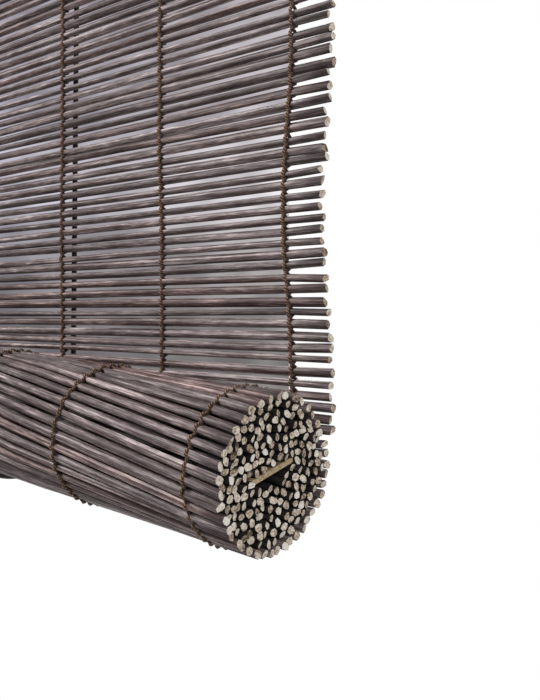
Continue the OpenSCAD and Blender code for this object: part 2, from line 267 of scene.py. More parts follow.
def twisted_thread(name, dark, middle, pale):
    made, tree, shader = begin(name, roughness=0.75)
    along, round_ = tube_map(tree)
    ply_and_shade = wave(along * 0.8 + round_ * 2)
    fibre = noise(tree, (2600, 2600, 2600), detail=2.0)
    cloud = noise(tree, (90, 90, 90), detail=2.0)
    # The colour follows the ply relief: painted shade in the grooves and painted highlight on the crests.
    value = ply_and_shade * 0.45 + fibre * 0.3 + cloud * 0.25
    shade = ramp(tree, value, (0.24, dark), (0.50, middle), (0.75, pale))
    end(tree, shader, shade, None, ply_and_shade + fibre * 0.4, 0.2 * mm, 0.8)
    return made


def tan_thread():
    return twisted_thread("tan_thread", paint(42, 27, 20), paint(88, 62, 45), paint(158, 125, 94))


# Painted shade: the tan thread at about half its lightness, for the strand behind the reeds.
def thread_in_painted_shade():
    return twisted_thread("thread_in_painted_shade", paint(20, 12, 9), paint(44, 28, 22), paint(84, 58, 45))


def braided_cord():
    made, tree, shader = begin("braided_cord", roughness=0.7)
    along, round_ = tube_map(tree)
    over = wave(along * 0.35 + round_ * 3)
    under = wave(along * 0.35 - round_ * 3)
    braid_and_shade = over.maths("MAXIMUM", over * 0.9, under)
    fibre = noise(tree, (2200, 2200, 2200), detail=2.0)
    # The colour follows the braid: painted shade in its hollows and painted highlight on the raised strands.
    value = braid_and_shade * 0.7 + fibre * 0.3
    shade = ramp(tree, value, (0.30, paint(16, 11, 9)), (0.60, paint(34, 25, 20)), (0.85, paint(60, 46, 37)))
    end(tree, shader, shade, None, braid_and_shade + fibre * 0.2, 0.3 * mm, 0.8)
    return made


# %% [markdown]
# ### Wood, metal and nylon
#
# The headrail is stained like the reeds, only darker, and its grain is longer and wider. The slat in
# the roll is raw bamboo. The small fittings are zinc or brass on steel, with the faint marks of
# rolling and handling, and the turning pieces are pale nylon.

# %% Finishes of the wood
def plank(name, dark, middle, pale, pore_depth):
    made, tree, shader = begin(name)
    grain = noise(tree, (4, 260, 260), detail=5.0, roughness=0.65)
    pores = noise(tree, (30, 1500, 1500), detail=2.0)
    value = grain * 0.7 + pores * 0.3
    end(tree, shader, ramp(tree, value, (0.32, dark), (0.50, middle), (0.70, pale)),
        0.40 + grain * 0.25, grain + pores * 0.6, pore_depth, 0.5)
    return made


def rail_wood():
    return plank("rail_wood", paint(44, 32, 27), paint(74, 56, 48), paint(100, 80, 70), 0.15 * mm)


def slat_bamboo():
    return plank("slat_bamboo", paint(98, 78, 54), paint(150, 126, 92), paint(186, 164, 128), 0.2 * mm)


def slat_sawn():
    made, tree, shader = begin("slat_sawn", roughness=0.8)
    fibre = noise(tree, (500, 2600, 2600), detail=2.0)
    cloud = noise(tree, (60, 300, 300), detail=2.0)
    pith = ramp(tree, fibre * 0.7 + cloud * 0.3, (0.34, paint(96, 76, 50)), (0.48, paint(184, 160, 122)),
                (0.64, paint(220, 202, 168)))
    end(tree, shader, pith, None, fibre, 0.2 * mm, 0.6)
    return made


# %% Finishes of the fittings
def plate_metal(name, dull, bright):
    made, tree, shader = begin(name, metallic=1.0)
    rolled = noise(tree, (90, 900, 900), detail=3.0)
    marks = noise(tree, (260, 260, 260), detail=4.0, roughness=0.7)
    shade = ramp(tree, rolled * 0.5 + marks * 0.5, (0.30, dull), (0.60, bright))
    end(tree, shader, shade, 0.44 + marks * 0.28, rolled + marks, 0.05 * mm, 0.4)
    return made


def zinc_steel():
    return plate_metal("zinc_steel", paint(96, 95, 93), paint(142, 141, 139))


def pale_brass():
    return plate_metal("pale_brass", paint(150, 122, 70), paint(206, 178, 118))


def pale_nylon():
    made, tree, shader = begin("pale_nylon")
    cloud = noise(tree, (160, 160, 160), detail=3.0)
    speck = noise(tree, (1800, 1800, 1800), detail=1.0)
    shade = ramp(tree, cloud, (0.30, paint(206, 200, 186)), (0.65, paint(230, 226, 216)))
    end(tree, shader, shade, 0.38 + cloud * 0.2, speck, 0.05 * mm, 0.3)
    return made


skin, cut, cord = reed_skin(), reed_cut(), braided_cord()
threads = [tan_thread(), thread_in_painted_shade()]
rail_finish, slat_finish, slat_end = rail_wood(), slat_bamboo(), slat_sawn()
steel, brass, nylon = zinc_steel(), pale_brass(), pale_nylon()
print("finishes:", len(bpy.data.materials))


# %% [markdown]
# ## Turning a mesh into a piece
#
# Every piece goes the same way: its mesh becomes an object at the origin, gets its finishes, rides on
# a body of the part and hides the solids that it stands for.

# %% Piece helper
def piece(name, bm, body, finishes, stands_for=()):
    bmesh.ops.recalc_face_normals(bm, faces=bm.faces)
    mesh = bpy.data.meshes.new(name)
    bm.to_mesh(mesh)
    bm.free()
    for one in finishes:
        mesh.materials.append(one)
    made = bpy.data.objects.new(name, mesh)
    bpy.context.scene.collection.objects.link(made)
    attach(made, body)
    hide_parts(*stands_for)
    print(name, "faces:", len(mesh.polygons))
    return made


# %% [markdown]
# ## Sizes that the mat is made from
#
# The boxes of the solids and the axis of the roll give the places. The small sizes are typed here:
# the turns of the roll and the tilt of the slat follow the photograph, and most others the solids.
# The mat hangs straight down behind the roll and runs under it, so the roll's axis lies one radius in
# front of the mat. The mat is wound askew: the axis leans to the right, and the roll takes up the
# lowest reeds from left to right.

# %% Sizes of the mat
reed_count = 119
reed_d = 3.2 * mm
warp_count = 8
warp_inset = 20 * mm
stagger = 2.4 * mm
roll_turns = 7
slat_w, slat_t, slat_tilt = 25 * mm, 2.5 * mm, math.radians(14.5)
slat_gap = 0.3 * mm
slat_inset = 1.8 * mm
core_ease = 2.2

mat_low, mat_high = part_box("hanging_mat")
mat_y = (mat_low.y + mat_high.y) / 2
eye_d = mat_high.y - mat_low.y
reed_pitch = (mat_high.z - mat_low.z - eye_d) / (reed_count - 1)
top_reed_z = mat_high.z - eye_d / 2
rail_low, rail_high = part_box("headrail")
reed_len = rail_high.x - rail_low.x
roll_axis = Vector(joints["roll_turn"]["pos_m"])
axis_way = Vector(joints["roll_turn"]["axis"])
lean_slope = -axis_way.z / axis_way.x
roll_place = Matrix.Translation(roll_axis) @ Matrix.Rotation(math.atan(lean_slope), 4, "Y")
turn_r = mat_y - roll_axis.y
warp_x = [reed_len * (k / (warp_count - 1) - 0.5) + warp_inset * (1 - 2 * k / (warp_count - 1))
          for k in range(warp_count)]


def roll_line(x):
    return roll_axis.z - x * lean_slope


print("pitch", round(reed_pitch / mm, 3), "turn radius", round(turn_r / mm, 2), "mm")


# %% Travel of the roll and the fixed ends of the pieces that hang
lift = joints["roll_lift"]
travel = lift["range_m"][1]
fixed_ends = {d["node"]: d["fixed_end_z_m"] for d in lift["deforming_nodes"]}


def hangs(made, node, foot_z):
    """Gives the piece its own mesh; the share it would shorten by towards the fixed end of its solid is
    worked out but not used.
    """
    top_z = fixed_ends[node]
    1 - travel / (top_z - foot_z)
    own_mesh(made)


print("travel of the roll", travel, "m")


# %% [markdown]
# ## A reed
#
# A real reed is a split stick: its section is a rounded triangle or square, it is never quite
# straight, and its end is sawn off a little aslant. One reed of unit size is cut into rings, with an
# inset face at each end for the sawn wood. Each copy then gets its own section, bends and length.

# %% One reed of unit size
reed_sides = 7
reed_rings = 8
rim_share = 0.08


def unit_reed():
    bm = bmesh.new()
    lying = Matrix.Rotation(math.radians(90), 4, "Y")
    bmesh.ops.create_cone(bm, cap_ends=True, segments=reed_sides, radius1=1, radius2=1, depth=1,
                          matrix=lying)
    long_edges = [e for e in bm.edges if abs(e.verts[0].co.x - e.verts[1].co.x) > 0.5]
    bmesh.ops.subdivide_edges(bm, edges=long_edges, cuts=reed_rings - 2, use_grid_fill=True)
    ends = [f for f in bm.faces if abs(f.normal.x) > 0.9]
    bmesh.ops.inset_individual(bm, faces=ends, thickness=rim_share, use_even_offset=True)
    for face in bm.faces:
        face.smooth = face not in ends
    for face in ends:
        face.material_index = 1
    mesh = bpy.data.meshes.new("unit_reed")
    bm.to_mesh(mesh)
    bm.free()
    return mesh


reed_mesh = unit_reed()
reed_spots = [(round((v.co.x + 0.5) * (reed_rings - 1)), math.atan2(v.co.z, v.co.y),
               math.hypot(v.co.y, v.co.z)) for v in reed_mesh.vertices]
print("faces of a reed:", len(reed_mesh.polygons))


# %% Laying a reed
chamfer = 0.15 * mm
# Painted shade at both ends of every reed: the lightness falls to this share at the ends.
end_painted_shade = 0.62
sway_reed, sway_reach, sway_in = 99, 15, 4.8 * mm
edge_out = 2.0 * mm
right_turn, left_turn = 137.5, 99
right_share = 0.35


def reed_bm():
    bm = bmesh.new()
    layers = bm.verts.layers
    return bm, layers.float.new("light"), layers.float.new("red"), layers.float_vector.new("grain")


def lay_reed(mat, rng, along, path, radius, painted_shade=1.0):
    """Adds a reed with its rings at these X and these (Y, Z)."""
    bm, light, red, grain = mat
    bm.from_mesh(reed_mesh)
    bm.verts.ensure_lookup_table()
    two, three = rng.uniform(0.04, 0.17), rng.uniform(0.03, 0.15)
    lean_two, lean_three = rng.uniform(0, math.tau), rng.uniform(0, math.tau)
    twist = rng.uniform(-0.5, 0.5)
    slant = [rng.uniform(-0.35, 0.35) for _ in range(4)]
    own = Vector([rng.uniform(0, 20) for _ in range(3)])
    # The painted shade of the reed, for the inner turns of the roll, scales its random tone.
    shade = painted_shade * min(max(rng.gauss(1.0, 0.15), 0.62), 1.4)
    rust = rng.uniform(0.55, 1.0) if rng.random() < 0.14 else rng.uniform(0.0, 0.3)
    for vert, (ring, angle, share) in zip(bm.verts[-len(reed_spots):], reed_spots):
        turned = angle + twist * ring / (reed_rings - 1)
        bulge = 1 + two * math.cos(2 * angle + lean_two) + three * math.cos(3 * angle + lean_three)
        out = radius * bulge * share
        across, up = out * math.cos(turned), out * math.sin(turned)
        x = along[ring]
        vert[light] = shade
        if ring in (0, reed_rings - 1):
            side = 1 if ring else -1
            first = 2 if ring else 0
            x += across * slant[first] + up * slant[first + 1]
            x -= side * chamfer * (share > 0.95)
            # Painted shade: the reed grows darker towards its end.
            vert[light] *= end_painted_shade
        vert.co = (x, path[ring][0] + across, path[ring][1] + up)
        vert[red] = rust
        vert[grain] = own + Vector((x, out * math.cos(angle), out * math.sin(angle)))


def ring_places(left, right):
    """X of the rings of a reed: its ends, near its last warps and even steps between."""
    first = min(max(warp_x[0], left + warp_inset / 4), right)
    last = max(min(warp_x[-1], right - warp_inset / 4), first)
    steps = reed_rings - 3
    return [left] + [first + (last - first) * k / steps for k in range(steps + 1)] + [right]


def edge_sway(i):
    """How far the right edge of the mat bows in, a little above the roll."""
    away = abs(i - sway_reed) / sway_reach
    return sway_in * (0.5 + 0.5 * math.cos(math.pi * away)) if away < 1 else 0.0


def right_end(i):
    staggered = reed_len / 2 + stagger * math.sin(math.radians(right_turn * i)) * right_share
    return staggered + edge_out - edge_sway(i)


def left_end(i):
    return -reed_len / 2 - stagger * math.sin(math.radians(left_turn * i))


# %% [markdown]
# ## The hanging mat
#
# The threads hold each reed at eight places, so it can bow a little between them and its free ends
# point a little up or down. That gives the gaps their wedge shape.

# %% Hanging reeds
meeting = 1.05
bow_out, bow_up, end_up = 0.2, 0.36, 0.3
hung_width = (1.04, 1.22)


def reed_z(i):
    return top_reed_z - i * reed_pitch


def taken_up(i):
    """X where the roll takes up reed i, a little above the line where the mat meets the roll."""
    return (roll_axis.z + meeting * reed_pitch - reed_z(i)) / lean_slope


def hanging_reeds():
    rng = random.Random(11)
    mat = reed_bm()
    for i in range(reed_count):
        bows = [(rng.gauss(0, bow_out) * mm, rng.gauss(0, bow_up) * mm) for _ in range(reed_rings)]
        bows[0] = (bows[1][0], bows[1][1] + rng.gauss(0, end_up) * mm)
        bows[-1] = (bows[-2][0], bows[-2][1] + rng.gauss(0, end_up) * mm)
        path = [(mat_y + y, reed_z(i) + z) for y, z in bows]
        left = max(left_end(i) + rng.uniform(-1, 1) * mm, taken_up(i))
        along = ring_places(left, right_end(i) + rng.uniform(-0.8, 0.8) * mm)
        lay_reed(mat, rng, along, path, reed_d / 2 * rng.uniform(*hung_width))
    return mat[0]


hung = piece("hanging_reeds", hanging_reeds(), "head", [skin, cut], ["hanging_mat"])
hangs(hung, "hanging_mat", roll_line(reed_len / 2))


# %% [markdown]
# ## Threads and cords as tubes
#
# A flat grid, wrapped along a path and sewn up along its seam, makes a tube that already has its map.
# The path only has to say where the middle of the tube runs.

# %% Tube helper
def add_tube(bm, path, radius, sides, reference, finish=0):
    """Adds a closed tube along path. The reference is a direction that the path never takes."""
    chart = bm.loops.layers.uv.verify()
    count = len(path) - 1
    grid = bmesh.ops.create_grid(bm, x_segments=count, y_segments=sides, size=1, calc_uvs=True)["verts"]
    length = [0.0]
    for here, there in zip(path, path[1:]):
        length.append(length[-1] + (there - here).length)
    frames = []
    for k, here in enumerate(path):
        ahead = (path[min(k + 1, count)] - path[max(k - 1, 0)]).normalized()
        first = (reference - ahead * reference.dot(ahead)).normalized()
        frames.append((here, first, ahead.cross(first)))
    for face in {f for v in grid for f in v.link_faces}:
        face.smooth = True
        face.material_index = finish
        for loop in face.loops:
            loop[chart].uv.x *= length[-1] / mm
    for vert in grid:
        here, first, second = frames[round((vert.co.x + 1) / 2 * count)]
        angle = (vert.co.y + 1) * math.pi
        vert.co = here + (first * math.cos(angle) + second * math.sin(angle)) * radius
    bmesh.ops.remove_doubles(bm, verts=grid, dist=radius * 0.01)
    rims = {e for v in grid if v.is_valid for e in v.link_edges if e.is_boundary}
    bmesh.ops.holes_fill(bm, edges=list(rims), sides=sides)


across_reeds = Vector((1, 0, 0))
print("tubes are ready")

# %% [markdown]
# ## Warps
#
# Each warp is a row of sewing. One strand runs down the front of the reeds and dips into each gap.
# The other runs behind the reeds and comes forward in each gap, round the first, which leaves a small
# knot beside it. The rows wander a little along the reeds, as hand-guided sewing does, and the last
# row follows the right edge of the mat.

# %% Course of a warp
strand_d = 1.35 * mm
half_twine = reed_d / 2 + strand_d / 2 + 0.05 * mm
knot_step = 1.0 * mm
knot_depth = 0.75
steps_per_reed = 6
thread_sides = 6


def wander(rng):
    waves = [(rng.uniform(0.4, 0.9) * mm, rng.uniform(0.10, 0.24), rng.uniform(0, math.tau)),
             (rng.uniform(0.1, 0.3) * mm, rng.uniform(0.4, 0.8), rng.uniform(0, math.tau))]
    return lambda t: sum(size * math.sin(rate * t + start) for size, rate, start in waves)


wanders = [wander(random.Random(40 + k)) for k in range(warp_count)]
wanders[-1] = lambda t: edge_out - edge_sway(t)


def strand(k, spot, first, last, hand, dip, loose):
    """Points of one strand of warp k. Spot gives the middle and the way out at a reed number."""
    rng = random.Random(90 + 2 * k + hand)
    stitches = [rng.gauss(0, loose) for _ in range(reed_count + 2)]
    count = round((last - first) * steps_per_reed)
    path = []
    for step in range(count + 1):
        t = first + (last - first) * step / count
        middle, outward = spot(t, warp_x[k])
        over = math.cos(math.tau * t) / 2 + 0.5
        if hand == 0:
            depth, aside = 1 - dip * (1 - over), 0.0
        else:
            depth, aside = knot_depth - (1 + knot_depth) * over, knot_step * (1 - over)
        aside += wanders[k](t) + stitches[round(t)]
        path.append(middle + outward * (half_twine * depth) + across_reeds * aside)
    return path


# %% Hanging warps
first_stitch = 4.6
mat_dip, mat_loose, mat_ply = 0.45, 0.1 * mm, strand_d * 0.6


def on_mat(t, x):
    return Vector((x, mat_y, reed_z(t))), Vector((0, -1, 0))


def hung_at(x):
    """Number of reeds that hang at X, up to the roll."""
    return (top_reed_z - roll_line(x)) / reed_pitch


for k in range(warp_count):
    bm = bmesh.new()
    for hand in (0, 1):
        path = strand(k, on_mat, first_stitch, hung_at(warp_x[k]), hand, mat_dip, mat_loose)
        add_tube(bm, path, mat_ply, thread_sides, across_reeds, hand)
    node = f"warp_{k + 1}" if 0 < k < warp_count - 1 else "hanging_mat"
    sewn = piece(f"hanging_warp_{k + 1}", bm, "head", threads, [node])
    hangs(sewn, node, roll_line(warp_x[k]))

# %% [markdown]
# ## The roll
#
# The mat is wound seven times round the slat: round outside, and flatter towards the slat. The outer
# turn keeps to that spiral, and because the mat is wound askew, its reeds run round the roll like a
# steep screw line. They lie closer at the right end, where the roll has twisted. Inside, the reeds of
# one turn drop into the gaps of the next, so they are pushed apart until they lie evenly, and each end
# of the roll settles in its own way. Three short rows of reeds fill the room beside the slat.

# %% Spiral of the mat
core_b = core_ease * (slat_t / 2 + slat_gap + reed_d / 2)
core_a = (slat_w / 2 + slat_gap + reed_d / 2) / math.sqrt(1 - 1 / core_ease ** 2)
reed_turn = reed_pitch / turn_r


def spiral(turn):
    """(Y, Z) from the axis of the roll after winding by this angle. Before 0 the mat hangs."""
    if turn < 0:
        return Vector((turn_r, -turn * turn_r))
    share = turn / (math.tau * roll_turns)
    a, b = turn_r + (core_a - turn_r) * share, turn_r + (core_b - turn_r) * share
    flat = Vector((a * math.cos(-turn - slat_tilt), b * math.sin(-turn - slat_tilt)))
    return Matrix.Rotation(slat_tilt, 2) @ flat


roll_lead = 0.95
first_taken = -math.floor(reed_len / 2 * lean_slope / reed_pitch + roll_lead)
windings = [first_taken * reed_turn]
while True:
    here = max(windings[-1], 0)
    speed = (spiral(here + 0.02) - spiral(here)).length / 0.02
    there = windings[-1] + reed_pitch / speed
    if there > math.tau * roll_turns:
        break
    windings.append(there)
print("reeds in the roll:", len(windings))

# %% The askew winding
twist_slope = math.tan(math.radians(3.2))
outer_end = math.tau + 1.25
outer_count = sum(turn < outer_end for turn in windings)


def askew(turn, x):
    """Winding angle at X of a reed that lies at this angle in the middle of the roll."""
    natural = turn - x * lean_slope / turn_r
    twisted = twist_slope * max(x, 0) / turn_r
    return natural - twisted * min(max(natural, 0) / math.pi, 1)


print("reeds in the outer turn:", outer_count)

# %% Settling of the inner turns
reed_room = 3.9 * mm
hem_row, hem_step = 7, 3.3 * mm
hem_levels = (1, 2, -3.3)
settle_rounds, settle_push = 45, 0.4


def settled(seed, x):
    rng = random.Random(seed)
    pulled = outer_end - askew(outer_end, reed_len / 2)
    spots = [spiral(askew(turn, x) if k < outer_count else turn - pulled) for k, turn in enumerate(windings)]
    hem = [Vector(((j - hem_row / 2 + 0.5) * hem_step, slat_t / 2 + level * hem_step))
           for level in hem_levels for j in range(hem_row)]
    spots += [Matrix.Rotation(slat_tilt, 2) @ spot for spot in hem]
    slat_half = Vector((slat_w / 2 + reed_d / 2, slat_t / 2 + reed_d * 0.55))
    spots = [spot + Vector((rng.gauss(0, 0.25), rng.gauss(0, 0.25))) * mm for spot in spots]
    for _ in range(settle_rounds):
        for i in range(outer_count, len(spots)):
            for j in range(i):
                apart = spots[i] - spots[j]
                near = apart.length
                if 0 < near < reed_room:
                    push = apart * ((reed_room - near) / near * settle_push)
                    spots[i] = spots[i] + push
                    if j >= outer_count:
                        spots[j] = spots[j] - push
            reach = turn_r - reed_d * 1.2
            if spots[i].length > reach:
                spots[i] = spots[i] * (reach / spots[i].length)
            lying = Matrix.Rotation(-slat_tilt, 2) @ spots[i]
            if abs(lying.x) < slat_half.x and abs(lying.y) < slat_half.y:
                lying.y = math.copysign(slat_half.y, lying.y)
                spots[i] = Matrix.Rotation(slat_tilt, 2) @ lying
    return spots


right_spots, left_spots = settled(5, reed_len / 2), settled(6, -reed_len / 2)
print("settled", len(right_spots), "reeds at each end")


# %% Reeds of the roll
# Painted shade: the reeds inside the roll keep only this share of their lightness.
inner_painted_shade = 0.13
outer_width, inner_width = (1.08, 1.24), (0.98, 1.16)


def rolled_reeds(first, last):
    rng = random.Random(23 + first)
    mat = reed_bm()
    for k in range(first, last):
        left = left_end(reed_count + k) + rng.uniform(-1, 1) * mm
        right = reed_len / 2 + rng.uniform(-1.2, 1.2) * mm
        if k >= outer_count:
            right = reed_len / 2 - rng.uniform(0.0, 2.4) * mm
        else:
            right = min(right, (windings[k] + roll_lead * reed_turn) * turn_r / lean_slope)
        along = ring_places(left, right)
        path = []
        for ring, x in enumerate(along):
            if k < outer_count:
                spot, bow = spiral(askew(windings[k], x)), 0.12
            else:
                spot = left_spots[k].lerp(right_spots[k], x / reed_len + 0.5)
                bow = 0.5 if 1 < ring < reed_rings - 2 else 0.15
            path.append((spot.x + rng.gauss(0, bow) * mm, spot.y + rng.gauss(0, bow) * mm))
        outer = k < outer_count
        width = rng.uniform(*(outer_width if outer else inner_width))
        lay_reed(mat, rng, along, path, reed_d / 2 * width, 1.0 if outer else inner_painted_shade)
    bmesh.ops.transform(mat[0], matrix=roll_place, verts=mat[0].verts)
    return mat[0]


piece("outer_turn", rolled_reeds(0, outer_count), "roll", [skin, cut], ["rolled_mat"])
piece("inner_turns", rolled_reeds(outer_count, len(right_spots)), "roll", [skin, cut], ["rolled_mat"])


# %% Warps on the roll
warp_end = math.tau + 0.7
roll_dip, roll_loose, roll_ply = 0.7, 0.35 * mm, strand_d * 0.45


def on_roll(t, x):
    """Middle and outward direction where reed number t lies on the roll."""
    low = min(max(math.floor(t), 0), len(windings) - 2)
    turn = askew(windings[low] + (windings[low + 1] - windings[low]) * (t - low), x)
    spot = spiral(turn)
    ahead = (spiral(turn + 0.01) - spiral(turn - 0.01)).normalized()
    return Vector((x, spot.x, spot.y)), Vector((0, -ahead.y, ahead.x))


for k in range(warp_count):
    bm = bmesh.new()
    turns = [askew(turn, warp_x[k]) for turn in windings]
    first = sum(turn < 0 for turn in turns) - 0.5
    last = sum(turn < warp_end for turn in turns)
    for hand in (0, 1):
        path = strand(k, on_roll, first, last, hand, roll_dip, roll_loose)
        add_tube(bm, path, roll_ply, thread_sides, across_reeds, hand)
    bmesh.ops.transform(bm, matrix=roll_place, verts=bm.verts)
    piece(f"rolled_warp_{k + 1}", bm, "roll", threads, [f"roll_warp_{k + 1}"])

# %% [markdown]
# ## Wooden parts
#
# The slat in the roll is split from a wide bamboo, so its ends are sawn and its long edges are broken
# with a scraper. The headrail and the slat that covers it are planed strips with rounded edges. Each
# is a box whose edges are bevelled, cut into lengths so that it can be a little uneven.

# %% Strip helper
def strip(low, high, edge, segments, cuts, uneven, seed):
    """A strip between two corners with rounded edges, cut into lengths along X."""
    rng = random.Random(seed)
    bm = bmesh.new()
    middle, size = (low + high) / 2, high - low
    place = Matrix.Translation(middle) @ Matrix.Diagonal((*size, 1))
    bmesh.ops.create_cube(bm, size=1, matrix=place)
    bmesh.ops.bevel(bm, geom=bm.edges[:], offset=edge, segments=segments, profile=0.5, affect="EDGES",
                    material=-1)
    long_edges = [e for e in bm.edges if abs(e.verts[0].co.x - e.verts[1].co.x) > size.x / 2]
    bmesh.ops.subdivide_edges(bm, edges=long_edges, cuts=cuts, use_grid_fill=True)
    shifts = {}
    for vert in bm.verts:
        spot = round(vert.co.x, 4)
        if spot not in shifts:
            shifts[spot] = Vector((0, rng.gauss(0, uneven), rng.gauss(0, uneven)))
        vert.co += shifts[spot]
    for face in bm.faces:
        face.smooth = True
    return bm


# %% Slat in the roll
def roll_slat():
    half = Vector((reed_len / 2 - slat_inset, slat_w / 2, slat_t / 2))
    bm = strip(-half, half, 0.6 * mm, 2, 10, 0.04 * mm, 3)
    for face in bm.faces:
        if abs(face.normal.x) > 0.9:
            face.material_index = 1
            face.smooth = False
    turn = roll_place @ Matrix.Rotation(slat_tilt, 4, "X")
    bmesh.ops.transform(bm, matrix=turn, verts=bm.verts)
    return bm


piece("roll_slat", roll_slat(), "roll", [slat_finish, slat_end], ["bottom_slat"])

# %% Headrail and cover slat
rail = strip(*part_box("headrail"), 1.2 * mm, 3, 8, 0.02 * mm, 4)
piece("planed_rail", rail, "head", [rail_finish], ["headrail"])
cover = strip(*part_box("cover_slat"), 0.8 * mm, 3, 8, 0.02 * mm, 5)
piece("front_slat", cover, "head", [rail_finish], ["cover_slat"])

# %% [markdown]
# ## Lift cords
#
# Each cord is tied to a brass eye in front, runs down to the roll, under it and up behind the mat to
# its pulley, and along the headrail to the cord lock. The runs in front and behind shorten as the
# roll rises, and the loop under the roll rises with it. So the cord is made in four lengths, each in
# the place of its solid, and it ends in a stopper knot behind the lock.

# %% Course of the cords
cord_d = 2.9 * mm
cord_gap = -0.3 * mm
groove_r = 6 * mm
loop_r = turn_r + reed_d / 2 + cord_gap + cord_d / 2
lock_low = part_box("lock_strap")[0]
loop_steps = 48


def on_loop(x, angle):
    out = loop_r - turn_r + spiral(max(-angle, 0)).length
    return Vector((x, roll_axis.y + out * math.cos(angle), roll_line(x) + out * math.sin(angle)))


def line(start, stop, step=6 * mm):
    count = max(1, round((stop - start).length / step))
    return [start.lerp(stop, k / count) for k in range(count + 1)]


def lift_cord(side):
    wheel = Vector(joints[f"{side}_pulley_turn"]["pos_m"])
    eye_low, eye_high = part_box(f"front_eye_{side}")
    x = wheel.x + groove_r
    ring_y = eye_low.y + (eye_high.z - eye_low.z) / 2
    tie_low, tie_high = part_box(f"front_cord_{side}")
    tie_r = (tie_high.x - tie_low.x) / 2 - cord_d / 2
    tie_z = tie_high.z - cord_d / 2 - tie_r
    knot = Vector((x, ring_y, tie_z - tie_r))

    def leave(point, side_of_roll):
        away, up = point.y - roll_axis.y, point.z - roll_line(x)
        return math.atan2(up, away) + side_of_roll * math.acos(loop_r / math.hypot(away, up))

    front = leave(knot, 1) - math.tau
    rear = leave(wheel, -1)
    top = Vector((x, wheel.y, wheel.z))
    over = [wheel + Vector((groove_r * math.cos(a), 0, groove_r * math.sin(a)))
            for a in (math.radians(9 * k) for k in range(11))]
    stop = Vector((lock_low.x - 3 * mm, wheel.y, wheel.z + groove_r))
    return {
        "knot": knot, "tie": (Vector((x, ring_y, tie_z)), tie_r), "stop": stop,
        "front_cord": line(knot, on_loop(x, front)),
        "roll_loop": [on_loop(x, front + (rear - front) * k / loop_steps) for k in range(loop_steps + 1)],
        "rear_cord": line(on_loop(x, rear), top),
        "rail_cord": over + line(over[-1], stop)[1:],
    }


courses = {side: lift_cord(side) for side in ("left", "right")}
left_run = courses["left"]["front_cord"]
print("front run of the left cord:", round((left_run[-1] - left_run[0]).length, 3), "m")


# %% Knots
wrap_steps, ring_steps = 14, 28


def wraps(start, along, turns, radius, rise):
    """Points of a few wraps round a line."""
    first = along.orthogonal().normalized()
    second = along.cross(first)
    steps = round(turns * wrap_steps)
    path = []
    for k in range(steps + 1):
        angle = math.tau * turns * k / steps
        out = (first * math.cos(angle) + second * math.sin(angle)) * radius
        path.append(start + along * (rise * k / steps) + out)
    return path


def ring_of(middle, radius):
    return [middle + Vector((radius * math.cos(a), 0, radius * math.sin(a)))
            for a in (math.tau * k / ring_steps for k in range(ring_steps + 1))]


# %% Cords in their four lengths
cord_sides = 10
knot_ply = cord_d / 2 * 0.9
lengths = {"front_cord": "head", "roll_loop": "loops", "rear_cord": "head", "rail_cord": "head"}

for side, course in courses.items():
    for part, body in lengths.items():
        bm = bmesh.new()
        reference = Vector((0, 1, 0)) if part == "rail_cord" else across_reeds
        add_tube(bm, course[part], cord_d / 2, cord_sides, reference)
        if part == "rail_cord":
            start = course["stop"] + Vector((5 * mm, 0, 0))
            stopper = wraps(start, Vector((-1, 0, 0)), 2.6, 1.3 * mm, 5 * mm)
            add_tube(bm, stopper, knot_ply, cord_sides, Vector((1, 0, 0)))
        made = piece(f"braided_{part}_{side}", bm, body, [cord], [f"{part}_{side}"])
        if part in ("front_cord", "rear_cord"):
            hangs(made, f"{part}_{side}", roll_line(course["knot"].x))
    bm = bmesh.new()
    add_tube(bm, ring_of(*course["tie"]), cord_d / 2, cord_sides, Vector((0, 1, 0)))
    start = course["knot"] - Vector((0, 0, 5 * mm))
    hitch = wraps(start, Vector((0, 0, 1)), 2.4, 1.35 * mm, 5.5 * mm)
    add_tube(bm, hitch, knot_ply, cord_sides, Vector((0, 0, 1)))
    piece(f"eye_knot_{side}", bm, "head", [cord], [f"front_cord_{side}"])

# %% [markdown]
# ## Fittings
#
# Hangers, eyes, pulleys and the cord lock keep the shape of their solids and get their finish. Only
# the nails get a new shape, because their heads are domed.

# %% Domed nails
def domed_nails():
    low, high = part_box("slat_nails")
    head_r = (high.z - low.z) / 2
    head_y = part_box("cover_slat")[0].y
    bm = bmesh.new()
    for k in range(warp_count - 1):
        x = (warp_x[k] + warp_x[k + 1]) / 2
        place = Matrix.Translation((x, head_y, (low.z + high.z) / 2)) @ Matrix.Diagonal((1, 0.5, 1, 1))
        bmesh.ops.create_uvsphere(bm, u_segments=16, v_segments=10, radius=head_r, matrix=place)
    for face in bm.faces:
        face.smooth = True
    return bm


piece("domed_nails", domed_nails(), "head", [brass], ["slat_nails"])

# %% Finishes of the solids that stay
by_slot = {"steel": steel, "brass": brass, "nylon": nylon}
slots = {part["node"]: part["material_slot"] for part in frame["record"]["subparts"]}
stayed = []
for node, solid in frame["nodes"].items():
    if not solid.hide_render:
        solid.data.materials.clear()
        solid.data.materials.append(by_slot[slots[node]])
        stayed.append(node)
print("solids that stay:", stayed)

# %% [markdown]
# ## Stage and light
#
# The blind hangs above a pale floor in soft light from a large lamp above on the left, a weaker one on
# the right and one behind. The world is white to the camera and dimmer as light. Behind the mat stands
# a card that only the camera sees. It glows with painted shade: the shaded wall that shows through the
# gaps of the mat left of its last warp, grey and darker near the roll.

# %% Floor
floor_z = -1.2
floor_r = 0.68


def floor_finish():
    made, tree, shader = begin("floor_paint", roughness=0.85)
    cloud = noise(tree, (3, 3, 3), detail=3.0)
    end(tree, shader, ramp(tree, cloud, (0.3, paint(232, 231, 229)), (0.7, paint(240, 239, 237))))
    return made


